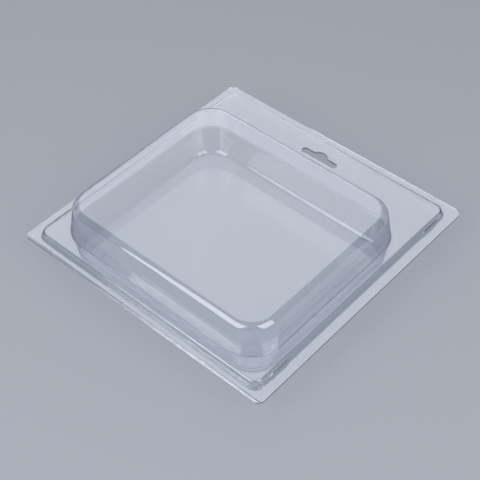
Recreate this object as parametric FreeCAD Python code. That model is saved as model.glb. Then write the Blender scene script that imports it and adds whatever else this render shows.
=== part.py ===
import FreeCAD, Part
import math
import os

# A clear hanging pack, thermoformed as one sheet and folded shut along one edge.
# Millimetres. X runs along the fold, Y from the fold to the hanging edge, Z up.
# The origin is under the middle of the pack, on the face that it stands on.

# The flat border that both halves share
pack_width = 220.0
pack_depth = 220.0
fold_corner = 4.5
hang_corner = 6.0
sheet = 0.5

# The fold: a small hollow bead between the two halves, with the border swept into it
bead_radius = 1.05
bead_sweep = 0.6

# The raised rim, which nests one half in the other. Its round is that of its innermost face.
rim_side_margin = 7.5
rim_fold_margin = 5.5
rim_hang_margin = 7.2
rim_height = 5.0
rim_corner = 8.0
rim_draft = 22.0
rim_round = 0.3
nest_gap = 0.3

# The front half's blister, over the goods. Its round is that of its inner face.
blister_width = 185.2
blister_depth = 157.4
blister_fold_margin = 16.4
blister_height = 24.0
blister_corner = 24.0
blister_draft = 8.5
blister_round = 5.5

# The back half's tray, under the goods, with its mouth inside the blister's foot
tray_depth = 16.5
mouth_inset = 0.8
tray_draft = 12.5
tray_floor_round = 5.0

# The snaps in the rim's two sides: a boss on the front half over a nib on the back half
snap_length = 18.0
snap_width = 12.0
snap_height = 4.0
snap_fold_margin = 29.0
snap_hang_margin = 29.0
snap_corner = 3.0
snap_draft = 8.0
nib_gap = 0.6

# The hanging slot, punched through both halves
slot_length = 32.0
slot_width = 5.7
slot_hang_margin = 29.0
slot_crown_radius = 5.4
slot_crown_rise = 3.5
slot_crown_blend = 2.0

# Heights and edges that follow from the sizes
fold_y = -pack_depth / 2
hang_y = pack_depth / 2
meeting_z = tray_depth + sheet
front_border_z = meeting_z + sheet
front_rim_z = front_border_z + rim_height
back_rim_z = front_rim_z - sheet - nest_gap
blister_top_z = front_rim_z + blister_height
# How far the tools reach past the pack, and how level an edge has to be to be rounded
overrun = 10.0
flat_tolerance = 1e-4


def point(y, z):
    """A point of a profile across the fold, at the tools' left end."""
    return FreeCAD.Vector(-pack_width / 2 - overrun, y, z)


def outline(half_width, low_y, high_y, low_corner, high_corner, z):
    """A rectangle with round corners, flat at height z."""
    corners = [
        (half_width - low_corner, low_y + low_corner, low_corner, -90),
        (half_width - high_corner, high_y - high_corner, high_corner, 0),
        (high_corner - half_width, high_y - high_corner, high_corner, 90),
        (low_corner - half_width, low_y + low_corner, low_corner, 180),
    ]
    arcs = []
    for x, y, radius, start in corners:
        circle = Part.Circle(FreeCAD.Vector(x, y, z), FreeCAD.Vector(0, 0, 1), radius)
        arcs.append(Part.Arc(circle, math.radians(start), math.radians(start + 90)).toShape())
    edges = []
    for arc, following in zip(arcs, arcs[1:] + arcs[:1]):
        edges.append(arc)
        edges.append(Part.makeLine(arc.Vertexes[-1].Point, following.Vertexes[0].Point))
    return Part.Wire(edges)


class Form:
    """A form with round corners and drafted sides. Rise is 1 for a boss and -1 for a hollow."""

    def __init__(self, half_width, low_y, high_y, corner, z, draft, rise=1):
        self.half_width = half_width
        self.low_y = low_y
        self.high_y = high_y
        self.corner = corner
        self.z = z
        self.slope = math.radians(draft)
        self.rise = rise

    def section(self, z, depth):
        """The outline of the sides at height z, set back by depth square to the sides."""
        inset = self.rise * (z - self.z) * math.tan(self.slope) + depth / math.cos(self.slope)
        corner = self.corner - inset
        return outline(
            self.half_width - inset, self.low_y + inset, self.high_y - inset, corner, corner, z
        )

    def solid(self, low_z, high_z, depth):
        return Part.makeLoft([self.section(low_z, depth), self.section(high_z, depth)], True, True)


def rounded(form, low_z, high_z, depth, round_z, radius):
    """The form's solid from low_z to high_z, with its edges at round_z rounded."""
    solid = form.solid(low_z, high_z, depth)
    edges = []
    for edge in solid.Edges:
        box = edge.BoundBox
        if abs(box.ZMin - round_z) < flat_tolerance and abs(box.ZMax - round_z) < flat_tolerance:
            edges.append(edge)
    return solid.makeFillet(radius, edges)


def border(side, depth):
    """What lies under a half's border and bead, set back by depth from the half's outer face.

    Side is 1 for the front half and -1 for the back half, whose profile is the mirror of it.
    """
    bead = bead_radius - depth
    sweep = bead_sweep + depth
    bead_centre = fold_y + bead_radius
    lift = sheet + bead_sweep
    reach = math.sqrt((bead_radius + bead_sweep) ** 2 - lift ** 2)
    slope = math.atan2(lift, reach)

    def on_bead(angle):
        return point(bead_centre + bead * math.cos(angle), meeting_z + side * bead * math.sin(angle))

    def on_sweep(angle):
        return point(
            bead_centre + reach - sweep * math.cos(angle),
            meeting_z + side * (lift - sweep * math.sin(angle)),
        )

    past_y = hang_y + overrun
    flat_z = meeting_z + side * (lift - sweep)
    low_z = -overrun
    start = on_bead(math.pi)
    first_y = start.y if side > 0 else fold_y - overrun
    edges = [
        Part.Arc(start, on_bead((math.pi + slope) / 2), on_bead(slope)).toShape(),
        Part.Arc(on_sweep(slope), on_sweep((slope + math.pi / 2) / 2), on_sweep(math.pi / 2)).toShape(),
        Part.makeLine(on_sweep(math.pi / 2), point(past_y, flat_z)),
        Part.makeLine(point(past_y, flat_z), point(past_y, low_z)),
        Part.makeLine(point(past_y, low_z), point(first_y, low_z)),
    ]
    if side > 0:
        edges.append(Part.makeLine(point(first_y, low_z), start))
    else:
        edges.append(Part.makeLine(point(first_y, low_z), point(first_y, meeting_z)))
        edges.append(Part.makeLine(point(first_y, meeting_z), start))
    profile = Part.Face(Part.Wire(edges))
    return profile.extrude(FreeCAD.Vector(pack_width + 2 * overrun, 0, 0))


def snaps(low_z, high_z, depth):
    """Bosses across the foot of the rim's two sides, near both ends of each side."""
    boss = snap.solid(low_z, high_z, depth)
    centre_x = rim.half_width - snap.half_width
    bosses = []
    for x in (-centre_x, centre_x):
        for y in (fold_y + snap_fold_margin, hang_y - snap_hang_margin):
            bosses.append(boss.translated(FreeCAD.Vector(x, y, 0)))
    return bosses


def front_under(depth):
    """What the front half covers, set back by depth from its outer face."""
    border_z = front_border_z - depth
    rim_z = front_rim_z - depth
    top_z = blister_top_z - depth
    snap_z = border_z + snap_height
    rim_edge = rim_round + sheet + nest_gap + sheet - depth
    blister_edge = blister_round + sheet - depth
    return border(1, depth).fuse(
        [
            rounded(rim, border_z - sheet, rim_z, depth, rim_z, rim_edge),
            rounded(blister, rim_z - sheet, top_z, depth, top_z, blister_edge),
            *snaps(border_z - sheet, snap_z, depth),
        ]
    )


def back_under(depth):
    """What the back half covers, set back by depth from its upper face."""
    border_z = meeting_z - depth
    rim_z = back_rim_z - depth
    floor_z = sheet - depth
    nested = sheet + nest_gap + depth
    caught = sheet + nib_gap + depth
    snap_z = front_border_z + snap_height - caught
    hollow = rounded(tray, floor_z, rim_z + sheet, -depth, floor_z, tray_floor_round + depth)
    raised = border(-1, sheet - depth).fuse(
        [
            rounded(rim, border_z - sheet, rim_z, nested, rim_z, rim_round + sheet - depth),
            *snaps(border_z - sheet, snap_z, caught),
        ]
    )
    return raised.cut(hollow)


def hang_slot():
    """The slot's outline with its raised crown, as a punch through both halves."""
    end_radius = slot_width / 2
    end_x = slot_length / 2 - end_radius
    low_y = hang_y - slot_hang_margin
    axis_y = low_y + end_radius
    top_y = low_y + slot_width
    crown_top_y = top_y + slot_crown_rise
    crown_y = crown_top_y - slot_crown_radius
    blend_y = top_y + slot_crown_blend
    blend_x = math.sqrt((slot_crown_radius + slot_crown_blend) ** 2 - (blend_y - crown_y) ** 2)
    lean = math.atan2(blend_y - crown_y, blend_x)

    def flat(x, y):
        return FreeCAD.Vector(x, y, 0)

    def on_blend(side, angle):
        """A point of the hollow curve between an arm and the crown, on the left or the right."""
        return flat(
            side * (blend_x - slot_crown_blend * math.cos(angle)),
            blend_y - slot_crown_blend * math.sin(angle),
        )

    def curve(*points):
        return Part.Arc(*points).toShape()

    halfway = (lean + math.pi / 2) / 2
    edges = [
        Part.makeLine(flat(-end_x, low_y), flat(end_x, low_y)),
        curve(flat(end_x, low_y), flat(end_x + end_radius, axis_y), flat(end_x, top_y)),
        Part.makeLine(flat(end_x, top_y), on_blend(1, math.pi / 2)),
        curve(on_blend(1, math.pi / 2), on_blend(1, halfway), on_blend(1, lean)),
        curve(on_blend(1, lean), flat(0, crown_top_y), on_blend(-1, lean)),
        curve(on_blend(-1, lean), on_blend(-1, halfway), on_blend(-1, math.pi / 2)),
        Part.makeLine(on_blend(-1, math.pi / 2), flat(-end_x, top_y)),
        curve(flat(-end_x, top_y), flat(-end_x - end_radius, axis_y), flat(-end_x, low_y)),
    ]
    return Part.Face(Part.Wire(edges)).extrude(FreeCAD.Vector(0, 0, blister_top_z))


def trimmed(shell, low_z, high_z):
    """The half between two heights, die-cut to the border's outline and punched for hanging."""
    blank = outline(pack_width / 2, fold_y, hang_y, fold_corner, hang_corner, low_z)
    die = Part.Face(blank).extrude(FreeCAD.Vector(0, 0, high_z - low_z))
    return shell.common(die).cut(hang_slot()).removeSplitter()


rim = Form(
    pack_width / 2 - rim_side_margin,
    fold_y + rim_fold_margin,
    hang_y - rim_hang_margin,
    rim_corner,
    front_border_z,
    rim_draft,
)
blister = Form(
    blister_width / 2,
    fold_y + blister_fold_margin,
    fold_y + blister_fold_margin + blister_depth,
    blister_corner,
    front_rim_z,
    blister_draft,
)
tray = Form(
    blister.half_width - mouth_inset,
    blister.low_y + mouth_inset,
    blister.high_y - mouth_inset,
    blister_corner - mouth_inset,
    back_rim_z,
    tray_draft,
    rise=-1,
)
snap = Form(
    snap_width / 2, -snap_length / 2, snap_length / 2, snap_corner, front_border_z, snap_draft
)

front_shell = trimmed(front_under(0.0).cut(front_under(sheet)), meeting_z, blister_top_z)
back_shell = trimmed(back_under(0.0).cut(back_under(sheet)), 0.0, meeting_z + rim_height)

os.makedirs("parts", exist_ok=True)
front_shell.exportStep("parts/front_shell.step")
back_shell.exportStep("parts/back_shell.step")
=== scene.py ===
import math

import bmesh
import bpy
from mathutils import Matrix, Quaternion, Vector


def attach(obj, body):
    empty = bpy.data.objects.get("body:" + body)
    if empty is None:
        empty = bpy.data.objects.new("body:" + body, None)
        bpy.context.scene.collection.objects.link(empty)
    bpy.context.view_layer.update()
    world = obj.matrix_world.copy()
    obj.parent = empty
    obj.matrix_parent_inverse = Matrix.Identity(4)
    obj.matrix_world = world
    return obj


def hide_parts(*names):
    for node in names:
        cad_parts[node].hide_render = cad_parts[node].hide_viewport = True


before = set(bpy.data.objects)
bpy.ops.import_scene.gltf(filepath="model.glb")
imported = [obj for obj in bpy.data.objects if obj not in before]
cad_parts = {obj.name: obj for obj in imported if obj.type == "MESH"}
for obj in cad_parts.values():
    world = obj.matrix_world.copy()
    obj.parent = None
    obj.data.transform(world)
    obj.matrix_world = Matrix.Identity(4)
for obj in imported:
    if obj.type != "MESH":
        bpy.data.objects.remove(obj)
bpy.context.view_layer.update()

# THE FRONT HALF
# Half of one clear PET sheet, drawn down hot over a mould. It has the flat border, the raised
# rim with four snaps in its sides, and the domed blister over the goods. The sheet is formed
# past its outline first, and die-cut and punched afterwards.

sheet = 0.0005
meeting = 0.017
front_border = meeting + sheet
fold_edge = -0.110
hang_edge = 0.110

# The two borders lie on each other with a film of air between them.
air_film = 0.00005

rim_half_width = 0.1025
rim_fold_edge = -0.1045
rim_hang_edge = 0.1028
rim_corner = 0.008
rim_height = 0.005
rim_draft = math.radians(22)
rim_round = 0.0016
front_rim_top = front_border + rim_height

blister_half_width = 0.0926
blister_fold_edge = -0.0936
blister_hang_edge = 0.0638
blister_corner = 0.024
blister_height = 0.024
blister_draft = math.radians(8.5)
blister_round = 0.006
blister_foot_round = 0.0008

snap_middle = 0.081
snap_half_length = 0.009
snap_top_share = 0.8
snap_height = 0.0032
snap_draft = math.radians(2)
snap_edge = 0.0006

bead_radius = 0.00105
bead_sweep = 0.0006

# The round at the rim's foot, and the faces along each kind of round.
foot_round = 0.0005
fine_steps = 4
rim_steps = 6
blister_steps = 12
corner_steps = 20

# Points closer than this are one point, and bends flatter than this are the sheet's own curve.
close = 2e-6
least_bend = math.radians(9)


def select(kind, test):
    """Selects the verts, edges or faces of the mesh in hand that pass the test, and no others."""
    bpy.ops.mesh.select_mode(type=kind)
    bpy.ops.mesh.select_all(action="DESELECT")
    shape = bmesh.from_edit_mesh(bpy.context.object.data)
    shape.normal_update()
    for item in {"VERT": shape.verts, "EDGE": shape.edges, "FACE": shape.faces}[kind]:
        if test(item):
            item.select_set(True)
    bmesh.update_edit_mesh(bpy.context.object.data)


def level(item, z):
    """True for an edge or a face that lies flat at height z."""
    return all(abs(vert.co.z - z) < close for vert in item.verts)


def loose(edge, z):
    """True for an edge at height z that has a face on one side at most."""
    return level(edge, z) and len(edge.link_faces) < 2


def bend(edge, convex):
    """True where the sheet bends sharply at an edge, outwards if convex and inwards if not."""
    sharp = len(edge.link_faces) == 2 and edge.calc_face_angle() > least_bend
    return sharp and edge.is_convex == convex


def new_piece(name):
    """Starts an empty mesh, and opens it in edit mode."""
    bpy.ops.object.select_all(action="DESELECT")
    piece = bpy.data.objects.new(name, bpy.data.meshes.new(name))
    bpy.context.scene.collection.objects.link(piece)
    bpy.context.view_layer.objects.active = piece
    piece.select_set(True)
    bpy.ops.object.mode_set(mode="EDIT")
    return piece


def add_outline(half, low, high, low_corner, high_corner, z):
    """Adds a level face with rounded corners to the mesh in hand, and leaves it selected."""
    middle = (0, (low + high) / 2, z)
    bpy.ops.mesh.primitive_plane_add(size=1, location=middle)
    bpy.ops.transform.resize(value=(2 * half, high - low, 1), center_override=middle)
    for y, radius in ((low, low_corner), (high, high_corner)):
        corner = Vector((half, y, z))
        select("VERT", lambda v: (Vector((abs(v.co.x), v.co.y, v.co.z)) - corner).length < close)
        bpy.ops.mesh.bevel(offset=radius, segments=corner_steps, affect="VERTICES")
    select("FACE", lambda f: level(f, z) and all(len(e.link_faces) == 1 for e in f.edges))


def add_form(outline, rise, draft):
    """Adds a boss or a hollow with sloping sides, which stands on its own outline."""
    add_outline(*outline)
    bpy.ops.mesh.inset(thickness=abs(rise) * math.tan(draft), depth=rise)


def turn_up(z):
    """Turns every face to the side on which the level faces at height z look up."""
    bpy.ops.mesh.select_all(action="SELECT")
    bpy.ops.mesh.normals_make_consistent(inside=False)
    shape = bmesh.from_edit_mesh(bpy.context.object.data)
    shape.normal_update()
    if any(level(face, z) and face.normal.z < 0 for face in shape.faces):
        bpy.ops.mesh.flip_normals()


# The flat ring gets a narrow band along both its edges, so that the rounds beside it stay even.
ring_band = 0.003


def join_loops(z):
    """Fills the level ring between the two open loops at height z, with a band along each."""
    select("EDGE", lambda e: loose(e, z))
    bpy.ops.mesh.bridge_edge_loops()
    turn_up(z)
    select("FACE", lambda f: level(f, z))
    bpy.ops.mesh.inset(thickness=ring_band)


def round_bend(z, convex, radius, draft, steps):
    """Rounds the bend at height z, between a level face and a drafted side, to a radius."""
    select("EDGE", lambda e: level(e, z) and bend(e, convex))
    reach = radius * math.tan((math.pi / 2 - draft) / 2)
    bpy.ops.mesh.bevel(offset=reach, segments=steps, affect="EDGES")


# The rim's left and right sides are told from its corners by how their normals point.
least_sideways = 0.5
most_endways = 0.1


def add_snaps(foot_x, foot_z, half_length, height, draft, edge):
    """Pushes four short stretches of the rim's sides out into steep snaps with a narrow ledge.

    The snaps start where the round at the rim's foot ends.
    """
    ledge_z = foot_z + height
    foot_reach = foot_round * math.tan((math.pi / 2 - rim_draft) / 2)
    foot_x -= foot_reach * math.sin(rim_draft)
    foot_z += foot_reach * math.cos(rim_draft)
    height = ledge_z - foot_z
    ledge_x = foot_x - height * math.tan(draft)
    out = height * (math.tan(rim_draft) - math.tan(draft))

    def in_side(face):
        """True for a face of the rim's left or right side, above the round at its foot."""
        sideways, endways = abs(face.normal.x), abs(face.normal.y)
        middle = face.calc_center_median()
        above_foot = foot_z < middle.z < foot_z + rim_height
        return sideways > least_sideways and endways < most_endways and above_foot

    def in_length(item, y):
        """True within the length of the snap whose middle is at y."""
        return all(abs(vert.co.y - y) < half_length + close for vert in item.verts)

    def below_ledge(item):
        return all(vert.co.z < ledge_z + close for vert in item.verts)

    def at_ledge(vert):
        """True for a point at a ledge's height or over it, in line with its outer edge."""
        return abs(abs(vert.co.x) - ledge_x) < close and vert.co.z > ledge_z - close

    for y in (-snap_middle, snap_middle):
        for cut in (y - half_length, y + half_length):
            select("FACE", in_side)
            bpy.ops.mesh.bisect(plane_co=(0, cut, 0), plane_no=(0, 1, 0))
        select("FACE", lambda f: in_side(f) and in_length(f, y))
        bpy.ops.mesh.bisect(plane_co=(0, 0, ledge_z), plane_no=(0, 0, 1))
        for side in (-1, 1):
            select(
                "FACE",
                lambda f: in_side(f)
                and in_length(f, y)
                and below_ledge(f)
                and side * f.normal.x > 0,
            )
            bpy.ops.mesh.extrude_region_move(TRANSFORM_OT_translate={"value": (side * out, 0, 0)})
            select("VERT", lambda v: abs(v.co.x - side * (foot_x + out)) < close)
            bpy.ops.transform.translate(value=(-side * out, 0, 0))
            ledge = Vector((side * ledge_x, y, ledge_z))
            select(
                "VERT",
                lambda v: (v.co - ledge).length < half_length + close
                and abs(v.co.x - ledge.x) < close,
            )
            bpy.ops.transform.resize(
                value=(1, snap_top_share, 1), center_override=(0, y, ledge_z)
            )
    bpy.ops.mesh.select_all(action="SELECT")
    bpy.ops.mesh.remove_doubles(threshold=close)
    select(
        "EDGE",
        lambda e: bend(e, True)
        and below_ledge(e)
        and any(at_ledge(v) for v in e.verts)
        and (in_length(e, snap_middle) or in_length(e, -snap_middle)),
    )
    bpy.ops.mesh.bevel(offset=edge, segments=fine_steps, affect="EDGES")


# The border is left too large, for the die. Its edge at the fold is swept up and
# over into the upper half of the bead.
web = 0.004
side_stretch = 1.2
sweep_lift = sheet + bead_sweep
sweep_reach = math.sqrt((bead_radius + bead_sweep) ** 2 - sweep_lift**2)
sweep_angle = math.atan2(sweep_reach, sweep_lift)
sweep_steps = 4
bead_steps = 10
bead_y = fold_edge + bead_radius
flat_start = bead_y + sweep_reach


def add_border(z, foot_low, foot_high):
    """Draws the border out of the rim's foot, as far as the bead and past the die elsewhere."""
    stretch = (hang_edge + web - flat_start) / (foot_high - foot_low)
    slide = flat_start - foot_low * stretch
    select("EDGE", lambda e: loose(e, z))
    bpy.ops.mesh.extrude_edges_move()
    bpy.ops.transform.resize(value=(side_stretch, stretch, 1), center_override=(0, 0, z))
    bpy.ops.transform.translate(value=(0, slide, 0))
    turn_up(z)


def add_bead(z, side, short):
    """Spins the border's edge round the sweep and then round the bead, to just short of its end."""
    select("EDGE", lambda e: loose(e, z) and all(abs(v.co.y - flat_start) < close for v in e.verts))
    bpy.ops.mesh.spin(
        steps=sweep_steps,
        angle=side * sweep_angle,
        center=(0, flat_start, meeting + side * sweep_lift),
        axis=(1, 0, 0),
    )
    bpy.ops.mesh.spin(
        steps=bead_steps,
        angle=-side * (math.pi / 2 + sweep_angle - short / bead_radius),
        center=(0, bead_y, meeting),
        axis=(1, 0, 0),
    )


def finish_modifier(piece, kind, **settings):
    """Adds a modifier to a piece with its settings, and applies it."""
    modifier = piece.modifiers.new(kind.title(), kind)
    for name, value in settings.items():
        setattr(modifier, name, value)
    bpy.context.view_layer.objects.active = piece
    bpy.ops.object.modifier_apply(modifier=modifier.name)


front = new_piece("front_half_film")
add_form(
    (rim_half_width, rim_fold_edge, rim_hang_edge, rim_corner, rim_corner, front_border),
    rim_height,
    rim_draft,
)
bpy.ops.mesh.delete(type="ONLY_FACE")
add_form(
    (
        blister_half_width,
        blister_fold_edge,
        blister_hang_edge,
        blister_corner,
        blister_corner,
        front_rim_top,
    ),
    blister_height,
    blister_draft,
)
join_loops(front_rim_top)
add_border(front_border, rim_fold_edge, rim_hang_edge)
round_bend(front_border, False, foot_round, rim_draft, fine_steps)
add_snaps(rim_half_width, front_border, snap_half_length, snap_height, snap_draft, snap_edge)
round_bend(front_rim_top, True, rim_round, rim_draft, rim_steps)
round_bend(front_rim_top, False, blister_foot_round, blister_draft, fine_steps)
round_bend(front_rim_top + blister_height, True, blister_round, blister_draft, blister_steps)
add_bead(front_border, 1, air_film)
turn_up(front_border)
bpy.ops.object.mode_set(mode="OBJECT")
finish_modifier(front, "SOLIDIFY", thickness=sheet - air_film, offset=-1)

# A die trims both halves to the border's outline in one stroke, and a punch cuts the slot for
# the display hook through both. The two tools are used on each half, and then taken away.
border_half_width = 0.110
fold_corner = 0.0045
hang_corner = 0.006
clear_of_bead = 0.0001
tool_low = -0.005
tool_length = 0.060


def raise_tool():
    """Draws a tool's flat outline up into a closed block, and leaves edit mode."""
    bpy.ops.mesh.select_all(action="SELECT")
    bpy.ops.mesh.extrude_region_move(TRANSFORM_OT_translate={"value": (0, 0, tool_length)})
    bpy.ops.mesh.select_all(action="SELECT")
    bpy.ops.mesh.normals_make_consistent(inside=False)
    bpy.ops.object.mode_set(mode="OBJECT")


die = new_piece("die")
add_outline(
    border_half_width, fold_edge - clear_of_bead, hang_edge, fold_corner, hang_corner, tool_low
)
raise_tool()

slot_half_length = 0.016
slot_low = 0.081
slot_width = 0.0057
slot_end_round = 0.0028
crown_foot = 0.0059
crown_top = 0.0034
crown_rise = 0.0035
crown_foot_round = 0.0012
crown_top_round = 0.0031
slot_steps = 10
slot_top = slot_low + slot_width
slot_middle = (0, slot_low + slot_width / 2, tool_low)
least_corner = math.radians(1)

punch = new_piece("punch")
bpy.ops.mesh.primitive_plane_add(size=1, location=slot_middle)
bpy.ops.transform.resize(value=(2 * slot_half_length, slot_width, 1), center_override=slot_middle)
for side in (-1, 1):
    bpy.ops.mesh.select_all(action="SELECT")
    bpy.ops.mesh.bisect(plane_co=(side * crown_foot, 0, 0), plane_no=(1, 0, 0))
select(
    "EDGE",
    lambda e: all(v.co.y > slot_top - close and abs(v.co.x) < crown_foot + close for v in e.verts),
)
bpy.ops.mesh.extrude_region_move(TRANSFORM_OT_translate={"value": (0, crown_rise, 0)})
bpy.ops.transform.resize(value=(crown_top / crown_foot, 1, 1), center_override=slot_middle)
bpy.ops.mesh.select_all(action="SELECT")
bpy.ops.mesh.dissolve_limited(angle_limit=least_corner)
for x, low, high, radius in (
    (slot_half_length, slot_low, slot_top, slot_end_round),
    (crown_foot, slot_top, slot_top, crown_foot_round),
    (crown_top, slot_top + crown_rise, slot_top + crown_rise, crown_top_round),
):
    select(
        "VERT",
        lambda v: abs(abs(v.co.x) - x) < close and low - close < v.co.y < high + close,
    )
    bpy.ops.mesh.bevel(offset=radius, segments=slot_steps, affect="VERTICES")
raise_tool()

hairline_sides = 4


def trim(piece):
    """Die-cuts and punches a half, and closes the hairline gaps that the cuts leave."""
    finish_modifier(piece, "BOOLEAN", operation="INTERSECT", object=die, solver="EXACT")
    finish_modifier(piece, "BOOLEAN", operation="DIFFERENCE", object=punch, solver="EXACT")
    bpy.ops.object.mode_set(mode="EDIT")
    bpy.ops.mesh.select_mode(type="EDGE")
    bpy.ops.mesh.select_all(action="DESELECT")
    bpy.ops.mesh.select_non_manifold()
    bpy.ops.mesh.fill_holes(sides=hairline_sides)
    bpy.ops.mesh.select_all(action="SELECT")
    bpy.ops.mesh.dissolve_degenerate(threshold=close)
    bpy.ops.object.mode_set(mode="OBJECT")


trim(front)

# The film is clear PET, faintly lilac against the light, with the slow ripple that the sheet
# keeps from forming and the fine scuffs of handling. Both halves are the same film.
film_colour = (0.93, 0.94, 0.97, 1)
film_shade = (0.95, 0.955, 0.97, 1)
film_ior = 1.55
ripple_scale = 22.0
ripple_detail = 1.0
ripple_strength = 0.04
ripple_depth = 0.002
scuff_scale = 160.0
scuff_detail = 4.0
scuff_roughness = 0.015
sharpest_smooth = math.radians(35)
flat_weight = 100


class Value:
    """One socket of a material. Sums and products of values add Math nodes."""

    def __init__(self, finish, socket):
        self.finish = finish
        self.socket = socket

    def math(self, operation, first, second):
        added = self.finish.add("ShaderNodeMath", {"operation": operation}, {0: first, 1: second})
        return added["Value"]

    def __add__(self, other):
        return self.math("ADD", self, other)

    def __radd__(self, other):
        return self.math("ADD", other, self)

    def __mul__(self, other):
        return self.math("MULTIPLY", self, other)

    def __rmul__(self, other):
        return self.math("MULTIPLY", other, self)


class Finish:
    """A material, to which nodes are added one at a time."""

    def __init__(self, name):
        self.material = bpy.data.materials.new(name)
        self.material.use_nodes = True
        self.material.node_tree.nodes.clear()

    def add(self, kind, settings, inputs):
        """Adds a node, with its settings and its sockets' values or links. Gives its outputs."""
        tree = self.material.node_tree
        node = tree.nodes.new(kind)
        for name, value in settings.items():
            setattr(node, name, value)
        for name, value in inputs.items():
            if isinstance(value, Value):
                tree.links.new(value.socket, node.inputs[name])
            else:
                node.inputs[name].default_value = value
        return {socket.name: Value(self, socket) for socket in node.outputs}


film = Finish("clear_film")
place = film.add("ShaderNodeTexCoord", {}, {})["Object"]
ripple = film.add(
    "ShaderNodeTexNoise", {}, {"Vector": place, "Scale": ripple_scale, "Detail": ripple_detail}
)["Fac"]
scuffs = film.add(
    "ShaderNodeTexNoise", {}, {"Vector": place, "Scale": scuff_scale, "Detail": scuff_detail}
)["Fac"]
bump = film.add(
    "ShaderNodeBump",
    {},
    {"Height": ripple, "Strength": ripple_strength, "Distance": ripple_depth},
)["Normal"]
plastic = film.add(
    "ShaderNodeBsdfPrincipled",
    {},
    {
        "Base Color": film_colour,
        "Roughness": scuff_roughness * scuffs,
        "IOR": film_ior,
        "Transmission Weight": 1.0,
        "Normal": bump,
    },
)["BSDF"]
# Light and shadow cross the film to the table straight, as through a clear pane.
see_through = film.add("ShaderNodeBsdfTransparent", {}, {"Color": film_shade})["BSDF"]
ray = film.add("ShaderNodeLightPath", {}, {})
mixed = film.add(
    "ShaderNodeMixShader",
    {},
    {0: ray["Is Shadow Ray"] + ray["Is Diffuse Ray"], 1: plastic, 2: see_through},
)["Shader"]
film.add("ShaderNodeOutputMaterial", {}, {"Surface": mixed})


def dress(piece, body, node):
    """Smooths a half's rounds, gives it the film, and sets it on its body for its plain node."""
    bpy.ops.object.select_all(action="DESELECT")
    piece.select_set(True)
    bpy.context.view_layer.objects.active = piece
    bpy.ops.object.shade_smooth_by_angle(angle=sharpest_smooth)
    finish_modifier(piece, "WEIGHTED_NORMAL", keep_sharp=True, weight=flat_weight)
    piece.data.materials.clear()
    piece.data.materials.append(film.material)
    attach(piece, body)
    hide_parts(node)


dress(front, "front_half", "front_shell")

# THE BACK HALF
# The other half of the same sheet. Its rim is a little smaller, so that it nests inside the
# front half's rim, and its tray goes down to the floor that the pack lies on. Four low nibs in
# the rim's sides click into the front half's snaps.

nest_gap = 0.0003
nested = (sheet + nest_gap) / math.cos(rim_draft) - sheet * math.tan(rim_draft)
back_rim_top = front_rim_top - sheet - nest_gap
back_rim_round = 0.0008

mouth_inset = 0.0008
tray_draft = math.radians(12.5)
tray_floor_round = 0.005
tray_floor_steps = 10

nib_half_length = 0.0079
nib_height = 0.0027
nib_draft = math.radians(8)
nib_edge = 0.00046

back = new_piece("back_half_film")
add_form(
    (
        rim_half_width - nested,
        rim_fold_edge + nested,
        rim_hang_edge - nested,
        rim_corner - nested,
        rim_corner - nested,
        meeting,
    ),
    back_rim_top - meeting,
    rim_draft,
)
bpy.ops.mesh.delete(type="ONLY_FACE")
add_form(
    (
        blister_half_width - mouth_inset,
        blister_fold_edge + mouth_inset,
        blister_hang_edge - mouth_inset,
        blister_corner - mouth_inset,
        blister_corner - mouth_inset,
        back_rim_top,
    ),
    sheet - back_rim_top,
    tray_draft,
)
join_loops(back_rim_top)
add_border(meeting, rim_fold_edge + nested, rim_hang_edge - nested)
round_bend(meeting, False, foot_round, rim_draft, fine_steps)
add_snaps(rim_half_width - nested, meeting, nib_half_length, nib_height, nib_draft, nib_edge)
round_bend(back_rim_top, True, back_rim_round, rim_draft, fine_steps)
round_bend(sheet, False, tray_floor_round, tray_draft, tray_floor_steps)
add_bead(meeting, -1, 0)
turn_up(meeting)
bpy.ops.object.mode_set(mode="OBJECT")
finish_modifier(back, "SOLIDIFY", thickness=sheet, offset=-1)
trim(back)
dress(back, "back_half", "back_shell")
bpy.data.objects.remove(die)
bpy.data.objects.remove(punch)

# THE FLOOR AND THE LIGHT
# A plain pale table, lit by a soft box behind the pack, whose light the flat film mirrors to
# the camera, and by two soft boxes on either side of the camera.

floor_colour = (0.36, 0.385, 0.43, 1)
floor_roughness = 0.9
floor_size = 8
floor_drop = 0.0004

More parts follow.
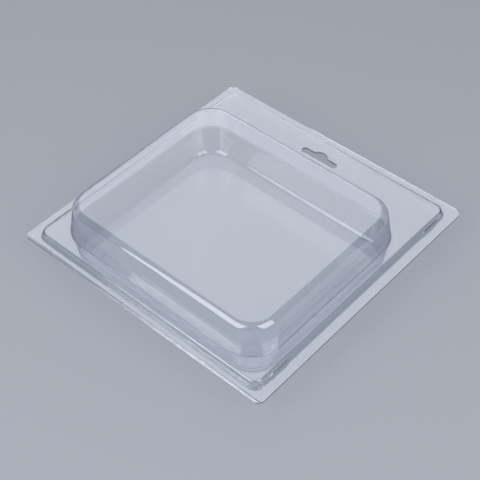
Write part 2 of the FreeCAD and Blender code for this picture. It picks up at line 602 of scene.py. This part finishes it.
bpy.ops.object.select_all(action="DESELECT")
bpy.ops.mesh.primitive_plane_add(size=floor_size, location=(0, 0, -floor_drop))
floor = bpy.context.object
floor.name = "floor"
table = Finish("table")
tabletop = table.add(
    "ShaderNodeBsdfPrincipled", {}, {"Base Color": floor_colour, "Roughness": floor_roughness}
)["BSDF"]
table.add("ShaderNodeOutputMaterial", {}, {"Surface": tabletop})
floor.data.materials.append(table.material)


def add_box_light(name, place, width, height, power):
    """Adds an upright soft light that faces the pack."""
    lamp = bpy.data.lights.new(name, "AREA")
    lamp.shape = "RECTANGLE"
    lamp.size = width
    lamp.size_y = height
    lamp.energy = power
    light = bpy.data.objects.new(name, lamp)
    light.location = place
    light.rotation_mode = "QUATERNION"
    light.rotation_quaternion = Vector(place).to_track_quat("Z", "Y")
    bpy.context.scene.collection.objects.link(light)


add_box_light("back_box", place=(-0.876, 0.955, 0.94), width=1.1, height=1.7, power=8.8)
add_box_light("left_box", place=(-0.28, -1.22, 1.00), width=1.2, height=1.4, power=20.4)
add_box_light("right_box", place=(1.25, 0.02, 1.00), width=1.1, height=1.4, power=17.6)

room_colour = (0.08, 0.085, 0.095, 1)
room = bpy.data.worlds.new("room")
room.use_nodes = True
room.node_tree.nodes["Background"].inputs["Color"].default_value = room_colour
bpy.context.scene.world = room

# THE CAMERA
# A long lens, over the corner where the fold meets the right side. Rays cross up to a dozen
# faces of film on their way to it, so they are let through more than the usual number.

azimuth = math.radians(42.563)
elevation = math.radians(46.644)
roll = math.radians(-1.211)
distance = 0.78224
aim = Vector((0.00827, -0.01385, front_border))
to_camera = Vector(
    (
        math.sin(azimuth) * math.cos(elevation),
        -math.cos(azimuth) * math.cos(elevation),
        math.sin(elevation),
    )
)
camera = bpy.data.objects.new("camera", bpy.data.cameras.new("camera"))
camera.data.lens = 84.0
camera.data.sensor_width = 36.0
camera.location = aim + distance * to_camera
camera.rotation_mode = "QUATERNION"
camera.rotation_quaternion = to_camera.to_track_quat("Z", "Y") @ Quaternion((0, 0, 1), roll)
bpy.context.scene.collection.objects.link(camera)
bpy.context.scene.camera = camera

cycles = bpy.context.scene.cycles
cycles.max_bounces = 24
cycles.transmission_bounces = 24
cycles.transparent_max_bounces = 32
bpy.context.scene.view_settings.view_transform = "Standard"
